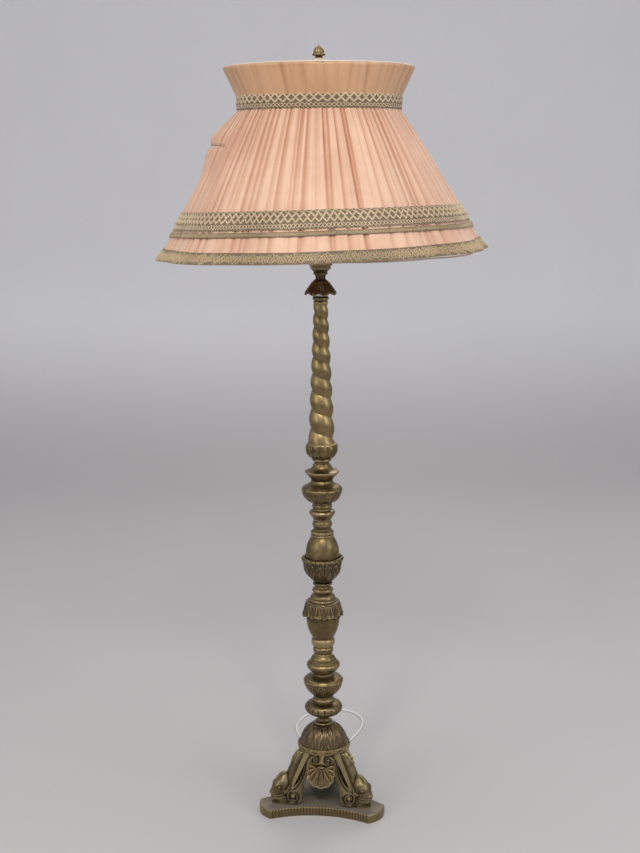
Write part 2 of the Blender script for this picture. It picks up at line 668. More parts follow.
# The plain turned pieces, from the spool above the dome to the neck under the candle cup
TURNED = [
    ("turned_spool", "neck_spool", line(
        [(0.8, 0), (0.98, 0), (1, 0.05), (0.99, 0.15), (0.93, 0.2)],
        ((0.87, 0.22), (0.68, 0.42), (0.63, 0.66), (0.72, 0.84), (0.92, 1)))),
    ("turned_lower_saucer", "lower_saucer", line(
        ((0.6, 0), (0.66, 0.08), (0.87, 0.22), (0.98, 0.36)), [(1, 0.4), (1, 0.5), (0.95, 0.57)],
        ((0.88, 0.6), (0.81, 0.66), (0.8, 0.72)), ((0.74, 0.74), (0.7, 0.86), (0.58, 1)))),
    ("turned_ball", "ball_reel", line(
        [(0.8, 0), (0.88, 0.02), (0.88, 0.1)],
        ((0.84, 0.14), (0.97, 0.34), (1, 0.52), (0.97, 0.7), (0.84, 0.86)),
        [(0.9, 0.88), (0.9, 0.96), (0.84, 1)])),
    ("turned_vase", "tapered_vase", line(
        [(0.6, 0), (0.68, 0.01), (0.71, 0.04), (0.71, 0.11), (0.68, 0.14), (0.64, 0.16)],
        ((0.64, 0.18), (0.8, 0.29), (0.93, 0.42), (0.99, 0.55), (1, 0.66), (0.98, 0.95)), [(0.92, 1)])),
    ("turned_collar", "stepped_collar", line(
        [(1, 0), (1, 0.1), (0.94, 0.13)],
        ((0.93, 0.15), (0.92, 0.24), (0.85, 0.35), (0.72, 0.44), (0.62, 0.5)), [(0.62, 0.54), (0.74, 0.58)],
        ((0.74, 0.6), (0.78, 0.68), (0.74, 0.78)), ((0.68, 0.8), (0.58, 0.88), (0.56, 1)))),
    ("turned_egg", "egg", line(
        [(0.94, 0), (0.98, 0.08)], ((1, 0.2), (1, 0.36), (0.98, 0.52), (0.92, 0.7), (0.8, 0.87), (0.67, 1)))),
    ("turned_reel", "upper_reel", line(
        [(0.96, 0), (1, 0.03), (1, 0.12), (0.93, 0.16), (1, 0.2), (1, 0.3), (0.9, 0.35)],
        ((0.86, 0.37), (0.75, 0.45), (0.78, 0.55), (0.86, 0.68), (0.83, 0.8), (0.76, 0.9)), [(0.78, 1)])),
    ("turned_flare", "flared_ring", line(
        ((0.7, 0), (0.78, 0.1), (0.93, 0.27)), [(1, 0.34), (1, 0.43), (0.94, 0.5)],
        ((0.92, 0.52), (0.74, 0.58), (0.69, 0.66)), [(0.75, 0.7)], ((0.75, 0.72), (0.78, 0.8), (0.75, 0.9)),
        [(0.7, 0.93), (0.72, 1)])),
    ("turned_upper_saucer", "upper_saucer", line(
        [(0.58, 0), (0.62, 0.05), (0.95, 0.44), (0.95, 0.47), (1, 0.5), (1, 0.54)],
        ((0.96, 0.57), (0.78, 0.63), (0.62, 0.74), (0.53, 0.88), (0.5, 1)))),
    ("turned_neck", "upper_neck", line(
        ((0.94, 0), (0.83, 0.1), (0.58, 0.26), (0.55, 0.42), (0.61, 0.56)),
        [(0.75, 0.59), (0.79, 0.68), (0.75, 0.77)], ((0.72, 0.78), (0.88, 0.9), (1, 1)))),
]


def turned_pieces(materials):
    for name, node, outline in TURNED:
        stem_piece(name, node, outline, materials, key="dark" if node == "upper_neck" else "brass")


# Leaves round the dome and round the hanging skirt
LEAF_COUNT = 9


def cast_pieces(materials):
    """The pieces cast with gadroons, flutes or leaves."""
    stem_piece("gadrooned_disc", "fluted_disc", line(
        [(0.46, 0)],
        ((0.6, 0.06), (0.82, 0.16), (0.96, 0.32), (1, 0.47), (0.97, 0.6), (0.86, 0.73), (0.64, 0.83)),
        [(0.56, 0.86), (0.56, 1)]), materials, gadroons(18, 2.6 * MM, 0.02, 0.66), 324)
    stem_piece("leafy_vase", "low_vase", line(
        ((0.54, 0), (0.49, 0.07), (0.5, 0.15), (0.7, 0.28), (0.86, 0.43), (0.95, 0.58), (0.99, 0.69)),
        [(1, 0.71), (1, 0.75)], ((0.97, 0.77), (0.9, 0.83), (0.74, 0.88), (0.54, 0.94), (0.5, 1))),
        materials, leaves(10, 1.6 * MM, 0.14, 0.68), 300)
    stem_piece("fluted_bowl", "fluted_cup", line(
        [(0.49, 0)], ((0.54, 0.02), (0.73, 0.11), (0.87, 0.25), (0.96, 0.42), (1, 0.57)), [(1, 0.62)],
        ((0.98, 0.66), (0.88, 0.74), (0.71, 0.82), (0.58, 0.9), (0.52, 1))),
        materials, gadroons(14, 2.2 * MM, -0.02, 0.6, 0.8), 280)
    stem_piece("gadrooned_seat", "column_seat", line(
        ((0.5, 0), (0.44, 0.05), (0.43, 0.12)), [(0.58, 0.14), (0.61, 0.19), (0.58, 0.24)],
        ((0.58, 0.26), (0.78, 0.34), (0.93, 0.48), (0.99, 0.64), (1, 0.8), (0.97, 0.92)), [(0.93, 1)]),
        materials, gadroons(12, 2.2 * MM, 0.24, 0.98, 0.7), 264)
    stem_piece("head_rings", "column_rings", line(
        [(0.86, 0), (0.9, 0.04), (0.9, 0.22), (0.8, 0.28), (0.8, 0.42)],
        ((0.84, 0.44), (0.98, 0.52), (1, 0.66), (0.98, 0.8), (0.9, 0.94)), [(0.88, 1)]), materials)

    leaf_bowl_relief = leaves(7, 3.6 * MM, 0.1, 0.9, veins=2.6, steep=2.0)
    scallops = gadroons(24, 1.4 * MM, 0.82, 1.2, 0.8)
    stem_piece("acanthus_bowl", "leaf_bowl", line(
        [(0.4, 0), (0.46, 0.03), (0.46, 0.08), (0.4, 0.1)],
        ((0.42, 0.12), (0.54, 0.2), (0.74, 0.36), (0.87, 0.52), (0.91, 0.7), (0.96, 0.83)),
        [(1, 0.88), (1, 0.94), (0.97, 0.98)], ((0.95, 0.99), (0.9, 1), (0.84, 0.97)), [(0.8, 0.9)]),
        materials, lambda a, s: leaf_bowl_relief(a, s) * (s < 0.9) + scallops(a, s), 336, key="dark")

    stem_piece("leafy_dome", "leaf_dome", line(
        [(0.92, 0), (0.965, 0.015)],
        ((0.965, 0.04), (0.94, 0.16), (0.88, 0.36), (0.79, 0.58), (0.66, 0.78), (0.52, 0.91), (0.42, 1))),
        materials, leaves(LEAF_COUNT, 3.2 * MM, -0.02, 0.9, veins=1.2, steep=1.7), 360, key="dark")

    def tips(a, share):
        """Lifts the hem between the tips of the leaves."""
        return 5 * MM * (1 - abs(math.cos(LEAF_COUNT / 2 * a))) * max(0, 1 - 3 * share)
    stem_piece("hanging_leaves", "leaf_skirt", line(
        [(0.84, 0.16), (0.86, 0.02), (0.9, 0)],
        ((0.96, 0), (1, 0.06), (0.98, 0.14), (0.93, 0.32), (0.89, 0.55), (0.84, 0.84)),
        [(0.8, 0.96), (0.76, 1)]), materials,
        leaves(LEAF_COUNT, 3.6 * MM, 0.02, 0.92, flip=True, veins=1.0, steep=1.9), 324, key="dark", drop=tips)


def drip_pan(materials):
    """Pan whose edge is cut into eight drooping leaves with veins."""
    low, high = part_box("drip_pan")
    radius, height, count = reach("drip_pan"), high.z - low.z, 8
    bm = bmesh.new()
    outline = even_rows(soften([(r * radius, low.z + z * height) for r, z in [
        (BORE / radius, 1), (BORE / radius, 0.24), (0.44, 0.24), (0.68, 0.34), (0.88, 0.3), (0.97, 0.24),
        (1, 0.3), (0.96, 0.42), (0.86, 0.56), (0.74, 0.72), (0.64, 0.86), (0.58, 1)]]), 1.5 * MM)
    spun(bm, outline, 256)

    def shape(r, a, z):
        u = ((a * count / TAU) % 1) * 2 - 1
        out = max(0, (r / radius - 0.5) / 0.5)
        tip = 1 - abs(u) ** 1.6
        knob = 0.8 * MM * abs(math.sin(1.5 * count * a))
        r2 = r - out ** 2 * ((1 - tip) * 3 * MM - knob)
        vein = 0.7 * MM * math.exp(-(u / 0.12) ** 2) - 1.2 * MM * math.exp(-((abs(u) - 1) / 0.16) ** 2)
        return r2, z - out ** 2 * tip * height * 0.16 + out * vein * (z > low.z + height * 0.34)
    carve(bm, shape)
    piece("leafy_drip_pan", bm, "stand", materials["dark"], ["drip_pan"])


COLUMN_FOOT_R = 30 * MM
COLUMN_TOP_R = 15.5 * MM
COLUMN_TURNS = 8.4
TURN_GAIN = 0.26
COLUMN_START = 88
GROOVE_SHARE = 0.2


def column(materials):
    """The column's one groove falls to the right, and its turns draw together upwards."""
    low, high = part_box("twisted_column")
    height = high.z - low.z
    bm = bmesh.new()
    outline = [(BORE, low.z), (COLUMN_FOOT_R, low.z), (COLUMN_TOP_R, high.z), (BORE, high.z)]
    spun(bm, even_rows(outline, MM), 110)
    # The groove fades out over a quarter of a turn at each end
    rest = 0.25 / COLUMN_TURNS

    def shape(r, a, z):
        s = (z - low.z) / height
        full = COLUMN_FOOT_R + (COLUMN_TOP_R - COLUMN_FOOT_R) * s
        if r < full - 0.5 * MM:
            return r, z
        turn = COLUMN_START - 360 * COLUMN_TURNS * (s + TURN_GAIN * s * (s - 1))
        across = math.radians((math.degrees(a) - turn) % 360)
        groove = 1 - abs(math.sin(across / 2)) ** 0.85
        fade = min(1, s / rest, (1 - s) / rest)
        return full * (1 - fade * GROOVE_SHARE * groove), z
    carve(bm, shape)
    piece("rope_twist_column", bm, "stand", materials["column"], ["twisted_column"])


def octagon_cup(materials):
    """Eight-sided cup with a plain rim, a sunk band and a smaller foot."""
    low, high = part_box("candle_cup")
    radius, height = reach("candle_cup"), high.z - low.z
    bm = bmesh.new()
    outline = soften([(r * radius, low.z + z * height) for r, z in [
        (BORE / radius, 0), (0.82, 0), (0.86, 0.04), (0.86, 0.28), (0.97, 0.33), (1, 0.36), (1, 0.5),
        (0.96, 0.53), (0.96, 0.84), (1, 0.87), (1, 1), (BORE / radius, 1)]], 0.5 * MM)
    spun(bm, outline, 8)
    piece("eight_sided_cup", bm, "stand", materials["dark"], ["candle_cup"],
          sharp=math.radians(25))


def ribbon_band(materials):
    """Band on top of the legs: a plain core, two ribbons round it, and a loop over each leg and side."""
    low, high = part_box("leg_band")
    middle, height = (low.z + high.z) / 2, high.z - low.z
    core = reach("leg_band") - 4 * MM
    bm = bmesh.new()
    spun(bm, soften([(BORE, low.z), (core - MM, low.z), (core, low.z + 2 * MM), (core, high.z - 2 * MM),
                     (core - MM, high.z), (BORE, high.z)]), 144)
    waves, steps = 12, 288
    for side in (0, 1):
        path = []
        for i in range(steps):
            a = TAU * i / steps
            wave = waves * a / 2 + math.pi * side
            r = core + 1.6 * MM + 0.9 * MM * math.cos(2 * wave)
            path.append((r * math.cos(a), r * math.sin(a), middle + 0.3 * height * math.sin(wave)))
        sweep(bm, path, round_section(2.9 * MM, 8, 0.65), closed=True, up=outwards)
    for k in range(6):
        a = math.radians(30 + 60 * k)
        centre = Vector((core * math.cos(a), core * math.sin(a), middle))
        side, out = Vector((-math.sin(a), math.cos(a), 0)), Vector((math.cos(a), math.sin(a), 0))
        centre += out * 1.2 * MM
        loop = [centre + side * 5.4 * MM * math.cos(t) + Vector((0, 0, 4.2 * MM * math.sin(t)))
                for t in [TAU * i / 24 for i in range(24)]]
        sweep(bm, loop, round_section(1.9 * MM, 8), closed=True, up=out)
    piece("ribbon_band", bm, "stand", materials["dark"], ["leg_band"])


# ---- shade -------------------------------------------------------------------------

LOBES = 10
SHADE_TURN = math.radians(12 - 90)
WAIST_OUT = 171.5 * MM
HEM_R = 350 * MM
LOBE_DIP = 11 * MM
WAIST_LOW = 1572.04 * MM
HEM_LOW = 1274 * MM
SKIRT_TOP = 1590 * MM
BAND_TOP = 1605 * MM
COLLAR_HIGH = 1659 * MM
COLLAR_FLARE = 30 * MM
# Height under the waist braid's top at which the collar starts to flare
COLLAR_BEND = BAND_TOP - 9 * MM
CLOTH_T = 0.9 * MM
HEM_TILT = 10 * MM
HEM_SHIFT = 4 * MM
HEM_FLARE = 5 * MM
FRONT_RISE = 5 * MM
# The cloth has torn along a short level line on one side, and stands off there
TEAR_Z = 1500 * MM
TEAR_ANGLE = math.radians(-172)
TEAR_HALF = math.radians(26)
TEAR_FLAP = 23 * MM


def fall(z):
    return max(0.0, (WAIST_LOW - z) / (WAIST_LOW - HEM_LOW))


def skirt_radius(z, a):
    """Outer face of the cloth at a height and an angle, as in the frame, with its hem turned out a little."""
    dip = 1 - abs(math.sin(LOBES * (a - SHADE_TURN) / 2))
    f = fall(z)
    flare = HEM_FLARE * max(0.0, (f - 0.93) / 0.07) ** 1.5
    return WAIST_OUT + (HEM_R - WAIST_OUT) * f ** 0.93 - LOBE_DIP * f * dip + flare


def turn_between(a, b):
    """The turn from angle b to angle a, from minus to plus half a turn."""
    return (a - b + math.pi) % TAU - math.pi


def tear_share(a):
    """1 at the middle of the tear, 0 past its ends."""
    gap = abs(turn_between(a, TEAR_ANGLE))
    share = max(0.0, 1 - gap / (1.35 * TEAR_HALF))
    return share * share * (3 - 2 * share)


def tear_push(z, a):
    """How far the cloth stands off above and below the tear."""
    if z >= TEAR_Z:
        t = max(0.0, (WAIST_LOW - z) / (WAIST_LOW - TEAR_Z))
        return TEAR_FLAP * tear_share(a) * min(t / 0.75, 1 - 2 * (t - 0.75))
    return TEAR_FLAP * 0.75 * tear_share(a) * max(0.0, 1 - (TEAR_Z - z) / (60 * MM))


def tilt(p):
    """The shade hangs askew: lower on one side, pushed to the other, and drawn up at the front of its hem."""
    turn = math.radians(CAMERA_AZIMUTH)
    f = fall(p.z)
    side = (p.x * math.cos(turn) + p.y * math.sin(turn)) / HEM_R
    front = (p.x * math.sin(turn) - p.y * math.cos(turn)) / HEM_R
    p.z += HEM_TILT * side * min(1.0, 1.25 * f) + FRONT_RISE * max(0.0, front) * f ** 6
    p.x += HEM_SHIFT * f * math.cos(turn)
    p.y += HEM_SHIFT * f * math.sin(turn)
    return p


# Depth of the skirt's coarse and fine folds, and of the collar's pleats
FOLD_DEEP = 5.6 * MM
GATHER_DEEP = 1.1 * MM
PLEAT_DEEP = 2.8 * MM
# How far the lips of the tear part, up and down, and how far its lower lip stands off
LIP_APART = 1.5 * MM
LIP_OUT = 4 * MM


class Gathers:
    """Uneven folds of gathered cloth, each with a steep side, an easy side and a sharp line at its bottom."""

    def __init__(self, seed, count, steep=0.3):
        draw = random.Random(seed)
        self.pitch = TAU / count
        self.folds = []
        for i in range(count):
            wide = self.pitch * draw.uniform(0.55, 1.0)
            sides = [wide * steep, wide] if draw.random() < 0.65 else [wide, wide * steep]
            self.folds.append(((i + draw.uniform(-0.36, 0.36)) * self.pitch, sides, draw.uniform(0.3, 1.0),
                               draw.uniform(-0.4, 0.4) * self.pitch, draw.uniform(0.0, 0.75)))

    def depth(self, a, f):
        """0 on the crests, up to 1 in the bottom of a fold, at an angle and a share of the way down."""
        total = 0.0
        i = int((a % TAU) / self.pitch)
        for k in (-2, -1, 0, 1, 2):
            place, sides, deep, lean, late = self.folds[(i + k) % len(self.folds)]
            gap = turn_between(a, place + lean * f)
            total = max(total, deep * (1 - late * f) * max(0.0, 1 - abs(gap) / sides[gap > 0]) ** 1.5)
        return total


def wrap_uv(obj, radius):
    """UVs in metres round and up a piece that goes round the lamp."""
    mesh = obj.data
    layer = mesh.uv_layers.new(name="wrap")
    for poly in mesh.polygons:
        first = None
        for loop in poly.loop_indices:
            co = mesh.vertices[mesh.loops[loop].vertex_index].co
            a = math.atan2(co.y, co.x)
            if first is None:
                first = a
            if a - first > math.pi:
                a -= TAU
            if first - a > math.pi:
                a += TAU
            layer.data[loop].uv = (a * radius, co.z)


def cloth_piece(name, bm, material, node, girth_radius):
    """A finished sheet of the shade: its UVs in metres, and its thickness inwards."""
    obj = piece(name, bm, "shade", material, [node], sharp=math.radians(80))
    wrap_uv(obj, girth_radius)
    modifier = obj.modifiers.new("thickness", "SOLIDIFY")
    modifier.thickness = CLOTH_T
    modifier.offset = -1
    return obj


def tear_lips(bm):
    """Parts the cloth along the tear. Returns the vertices of its upper and its lower lip."""
    torn = [e for e in bm.edges if all(abs(v.co.z - TEAR_Z) < 1e-6 for v in e.verts)
            and all(abs(turn_between(math.atan2(v.co.y, v.co.x), TEAR_ANGLE)) < TEAR_HALF for v in e.verts)]
    made = bmesh.ops.split_edges(bm, edges=torn)["edges"]
    lips = {v for e in made for v in e.verts}
    rise = {v: sum(f.calc_center_median().z - TEAR_Z for f in v.link_faces) / len(v.link_faces) for v in lips}
    return {v for v in lips if rise[v] > MM}, {v for v in lips if rise[v] < -MM}


def silk_skirt(materials):
    """Gathered silk from the waist to the hem, in ten lobes, with sharp uneven folds and one tear."""
    coarse, fine, broad = Gathers(11, 92), Gathers(23, 210, 0.5), Gathers(31, 38, 0.8)
    below, above = 28, 11
    heights = [HEM_LOW + (TEAR_Z - HEM_LOW) * i / below for i in range(below)]
    heights += [TEAR_Z + (SKIRT_TOP - TEAR_Z) * i / above for i in range(above + 1)]
    bm = bmesh.new()
    crease = bm.verts.layers.float.new("fold")
    spun(bm, [(WAIST_OUT, z) for z in heights], 1080, closed=False)
    upper, lower = tear_lips(bm)
    for v in bm.verts:
        a, z = math.atan2(v.co.y, v.co.x), v.co.z
        f = fall(z)
        fold, small = coarse.depth(a, f), fine.depth(a, f)
        v[crease] = min(1.0, (0.85 * fold + 0.3 * small) * (1.3 - 0.5 * f) + 0.28 * broad.depth(a, f))
        deep = FOLD_DEEP * fold * (0.4 + 0.6 * min(1, 5 * f)) + GATHER_DEEP * small
        r = skirt_radius(z, a) - 0.2 * CLOTH_T - deep + tear_push(z, a)
        if v in lower:
            r += LIP_OUT * tear_share(a)
            z -= LIP_APART * tear_share(a)
        if v in upper:
            z += LIP_APART * tear_share(a)
        v.co = tilt(Vector((r * math.cos(a), r * math.sin(a), z)))
    return cloth_piece("gathered_skirt", bm, materials["silk"], "silk_skirt", 0.26)


def silk_collar(materials):
    """Flared, pleated collar that stands from the waist to over the top ring."""
    pleats = Gathers(5, 54, 0.4)
    ripple = Gathers(9, 13, 0.9)
    low = SKIRT_TOP + 0.3 * MM
    bm = bmesh.new()
    crease = bm.verts.layers.float.new("fold")
    rows = 16
    spun(bm, [(WAIST_OUT, low + (COLLAR_HIGH - low) * i / rows) for i in range(rows + 1)], 740, closed=False)
    for v in bm.verts:
        a, z = math.atan2(v.co.y, v.co.x), v.co.z
        s = (z - low) / (COLLAR_HIGH - low)
        fold = pleats.depth(a, 1 - s)
        v[crease] = fold
        flared = WAIST_OUT + COLLAR_FLARE * max(0.0, (z - COLLAR_BEND) / (COLLAR_HIGH - COLLAR_BEND))
        r = flared - 0.2 * MM - PLEAT_DEEP * fold * (0.1 + 0.9 * s)
        z -= 2.0 * MM * ripple.depth(a, 0) * max(0, 2 * s - 1)
        v.co = Vector((r * math.cos(a), r * math.sin(a), z))
    return cloth_piece("pleated_collar", bm, materials["collar"], "silk_collar", 0.19)


class Braid:
    """One row of braid on the shade: it follows the cloth from low to high, and rises a little in front."""

    def __init__(self, low, high, follow=skirt_radius, rise=0.0, seed=3):
        self.low, self.high, self.follow, self.rise = low, high, follow, rise
        self.draw = random.Random(seed)

    def point(self, a, share, out=0.0):
        front = max(0.0, math.sin(math.radians(CAMERA_AZIMUTH) - a))
        z = self.low + (self.high - self.low) * share + self.rise * front
        r = self.follow(z, a) + out
        return tilt(Vector((r * math.cos(a), r * math.sin(a), z)))

    def ground(self, bm, inner, outer):
        """The woven band itself, closed, with rounded edges."""
        edge = min(0.8 * MM / (self.high - self.low), 0.2)
        side = 0.6 * outer + 0.4 * inner
        loop = [(0, inner), (0, side), (edge, outer), (0.5, outer), (1 - edge, outer), (1, side), (1, inner),
                (0.5, inner)]
        # Each ring is spun at a radius of its own, by which its place in the loop is known
        apart = 0.01
        spun(bm, [(1 + i * apart, 0) for i in range(len(loop))], 320)
        for v in bm.verts:
            k = round((math.hypot(v.co.x, v.co.y) - 1) / apart)
            v.co = self.point(math.atan2(v.co.y, v.co.x), *loop[k])

    def cord(self, bm, waves, middle, swing, out, size, per_wave=4, phase=0.0, pointed=True, uneven=0.0):
        """A cord laid on the band in zigzags or loops, which uneven makes as irregular as old handwork."""
        path = []
        for i in range(waves * per_wave):
            a = TAU * i / (waves * per_wave)
            t = (i / per_wave + phase) % 1
            wave = (4 * abs(t - 0.5) - 1) if pointed else math.sin(TAU * t)
            stray = uneven * self.draw.uniform(-1, 1)
            path.append(self.point(a, middle + swing * wave * (1 + stray), out * (1 + 0.5 * stray)))
        sweep(bm, path, round_section(size, 5, 0.55), closed=True, up=outwards)


def chevron_cords(bm, braid, waves, out):
    """Two rows of chevrons back to back high on the braid, lace under them and loops along its edges."""
    size = 0.06375 * (braid.high - braid.low)
    for middle, swing in ((0.75, 0.115), (0.49, -0.115)):
        braid.cord(bm, waves, middle, swing, out + 0.4 * MM, size, uneven=0.12)
    for middle, swing, phase in ((0.19, 0.11, 0.0), (0.19, 0.11, 0.5), (0.94, 0.045, 0.0)):
        braid.cord(bm, waves, middle, swing, out, 0.42 * size, 6, phase, pointed=False, uneven=0.3)
    braid.cord(bm, waves * 2, 0.03, 0.05, 0.6 * out, 0.4 * size, pointed=False, uneven=0.3)


def looped_cords(bm, braid, waves, out):
    """Cords that cross in uneven loops."""
    size = 0.055 * (braid.high - braid.low)
    for phase in (0.0, 0.3, 0.55, 0.8):
        braid.cord(bm, waves, 0.5, 0.34, out * (1 + 0.4 * phase), size * (1 - 0.3 * phase), 5, phase,
                   pointed=False, uneven=0.5)


def braid_pieces(materials, name, node, braid, waves, cords, key="gold"):
    """A braid's woven ground and the cords sewn on it."""
    outer = 1.6 * MM
    ground = bmesh.new()
    braid.ground(ground, 0.3 * MM, outer)
    made = [piece(name, ground, "shade", materials["braid"], [node])]
    laid = bmesh.new()
    cords(laid, braid, waves, outer)
    made.append(piece(name + "_cords", laid, "shade", materials[key]))
    for obj in made:
        wrap_uv(obj, 0.25)
    return made


def shade_trim(materials):
    """The four rows of braid, by the piece of cloth that each is sewn to."""
    front = 8 * MM
    wide = Braid(1333 * MM, 1369 * MM, rise=front)
    narrow = Braid(1319.5 * MM, 1329 * MM, rise=front, seed=5)
    gimp = Braid(HEM_LOW - 1 * MM, HEM_LOW + 23 * MM, seed=7)
    waist = Braid(WAIST_LOW, BAND_TOP, lambda z, a: WAIST_OUT + 0.6 * MM, seed=9)
    skirt = (braid_pieces(materials, "wide_galloon", "wide_braid", wide, 128, chevron_cords)
             + braid_pieces(materials, "narrow_galloon", "narrow_braid", narrow, 240, looped_cords, "gimp")
             + braid_pieces(materials, "hem_galloon", "hem_gimp", gimp, 105, looped_cords, "gimp"))
    collar = braid_pieces(materials, "waist_galloon", "waist_braid", waist, 60, chevron_cords)
    return {"skirt": skirt, "collar": collar}


# ---- finial and lights ------------------------------------------------------------

def acorn_finial(materials):
    """Reeded acorn on a small reel."""
    low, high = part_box("finial")
    radius, height = reach("finial"), high.z - low.z
    outline = line([(0.4, 0), (0.5, 0), (0.62, 0.05), (0.62, 0.08), (0.5, 0.13), (0.6, 0.17)],
                   ((0.7, 0.18), (0.98, 0.23), (1, 0.3), (0.98, 0.37), (0.86, 0.42)),
                   ((0.84, 0.44), (0.8, 0.6), (0.62, 0.78), (0.34, 0.9), (0.14, 0.94)), [(0.12, 0.96)],
                   ((0.11, 0.97), (0.08, 0.995), (0.0, 1)))
    profile = [(0, low.z)] + [(p[0] * radius, low.z + p[1] * height) for p in outline]
    bm = bmesh.new()
    spun(bm, even_rows(soften(profile, 0.4 * MM), 0.9 * MM), 144, closed=False)
    reeds = gadroons(18, 0.7 * MM, 0.4, 0.97, 0.8)
    carve(bm, lambda r, a, z: (r + reeds(a, (z - low.z) / height) * min(1, r / (4 * MM)), z))
    piece("acorn_finial", bm, "finial", materials["brass"], ["finial"])


def bulb(materials, side):
    """Pearl bulb with a threaded metal base."""
    node = "bulb_" + side
    low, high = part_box(node)
    middle = (low.x + high.x) / 2
    radius, height = (high.x - low.x) / 2, high.z - low.z
    neck = 13 * MM
    start = low.z + 30 * MM
    glass = smooth_line([
        (neck * 0.98, start), (neck * 1.02, start + 0.03 * height), (radius * 0.74, start + 0.2 * height),
        (radius * 0.97, start + 0.4 * height), (radius * 0.97, start + 0.52 * height),
        (radius * 0.72, high.z - 7 * MM), (radius * 0.4, high.z - 1.6 * MM), (0, high.z)])
    bm = bmesh.new()
    spun(bm, [(0, start)] + glass, 48, closed=False)
    moved(bm, Matrix.Translation((middle, 0, 0)))
    piece("pearl_bulb_" + side, bm, "stand", materials["glass"], [node])
    bm = bmesh.new()
    thread = [(neck - (0.9 * MM if k % 2 else 0), low.z + (5 + 1.75 * k) * MM) for k in range(14)]
    foot = [(0, low.z), (neck * 0.4, low.z), (neck * 0.5, low.z + 1.5 * MM)]
    spun(bm, foot + smooth_line(thread, 2) + [(neck, start + MM), (0, start + MM)], 48, closed=False)
    moved(bm, Matrix.Translation((middle, 0, 0)))
    piece("screw_base_" + side, bm, "stand", materials["bright"])


# ---- foot ---------------------------------------------------------------------------

PLATE_T = 20 * MM
PLATE_R = 152 * MM
CORNER_W = 66 * MM
EDGE_DIP = 27 * MM
EDGE_RIBS = 33
EDGE_RIB_DEPTH = 2.3 * MM
CORNER_BULGE = 9 * MM
# The rounded top edge: each step's rise in mm, and how much it shrinks the outline
EDGE_STEPS = ((1.5, 0.996), (0.8, 0.992), (0.3, 0.985))


def base_plate(materials):
    """Three-cornered plate: hollow sides with round ribs, plain cut corners and a softened top edge."""
    corner = math.asin(CORNER_W / 2 / PLATE_R)
    half = PLATE_R * math.sin(math.radians(60) - corner)
    chord = PLATE_R * math.cos(math.radians(60) - corner)
    edge_r = (half * half + EDGE_DIP * EDGE_DIP) / (2 * EDGE_DIP)
    span = math.asin(half / edge_r)
    centre = chord - EDGE_DIP + edge_r
    shares = [0, 0.06, 0.18, 0.34, 0.5, 0.66, 0.82, 0.94]
    sides = []
    for turn in (0, 120, 240):
        spin = Matrix.Rotation(math.radians(turn), 2)
        places = [i + t for i in range(EDGE_RIBS) for t in shares] + [EDGE_RIBS]
        side = []
        for at in places:
            a = span * (1 - 2 * at / EDGE_RIBS)
            r = edge_r + EDGE_RIB_DEPTH * (1 - abs(math.sin(math.pi * at)) ** 0.5)
            side.append(spin @ Vector((-r * math.sin(a), r * math.cos(a) - centre)))
        sides.append(side)
    points = []
    for side, following in zip(sides, sides[1:] + sides[:1]):
        a, b = side[-1], following[0]
        out = (a + b).normalized() * CORNER_BULGE
        points += side
        points += [a.lerp(b, t) + out * 4 * t * (1 - t) for t in (0.08, 0.2, 0.35, 0.5, 0.65, 0.8, 0.92)]
    bm = bmesh.new()
    slab(bm, points, PLATE_T - sum(rise for rise, _ in EDGE_STEPS) * MM)
    for rise, shrink in EDGE_STEPS:
        top = max(v.co.z for v in bm.verts)
        lid = [f for f in bm.faces if all(v.co.z > top - 1e-6 for v in f.verts)]
        ring = verts_in(bmesh.ops.extrude_face_region(bm, geom=lid)["geom"])
        bmesh.ops.delete(bm, geom=lid, context="FACES_KEEP_BOUNDARY")
        bmesh.ops.scale(bm, vec=(shrink, shrink, 1), verts=ring)
        bmesh.ops.translate(bm, vec=(0, 0, rise * MM), verts=ring)
    piece("ribbed_plate", bm, "stand", materials["foot"], ["base_plate"],
          sharp=math.radians(50))


LEG_H = 118 * MM
LEG_LEAN = 11
SCROLL_T = 12 * MM
FOOT_SINK = 2.5 * MM
FACE_Y = 72 * MM
VOLUTE_X = 64 * MM
ARCH_X = 27 * MM
FOOT_R = 20 * MM
TOP_R = 12 * MM
TOP_X = 15 * MM
BACK_W = 14 * MM
HEAD_X = 110 * MM
HEAD_R = 19 * MM
HEAD_H = 72 * MM


def face_matrix():
    """Puts a face that is drawn flat, x along it and y up, on the foot's side that faces -Y."""
    return Matrix.Translation((0, -FACE_Y + SCROLL_T, PLATE_T - FOOT_SINK)) @ rotation(90 - LEG_LEAN, "X")


def spiral(cx, cy, r_out, r_in, start, turns, step=15):
    """Curls from r_out at the start angle to r_in; turns below 0 go clockwise."""
    count = max(2, round(abs(turns) * 360 / step))
    points = []
    for i in range(count + 1):
        r, a = r_out + (r_in - r_out) * i / count, math.radians(start + turns * 360 * i / count)
        points.append(Vector((cx + r * math.cos(a), cy + r * math.sin(a))))
    return points


def arc(cx, cy, r, start, end):
    return spiral(cx, cy, r, r, start, (end - start) / 360, 12)


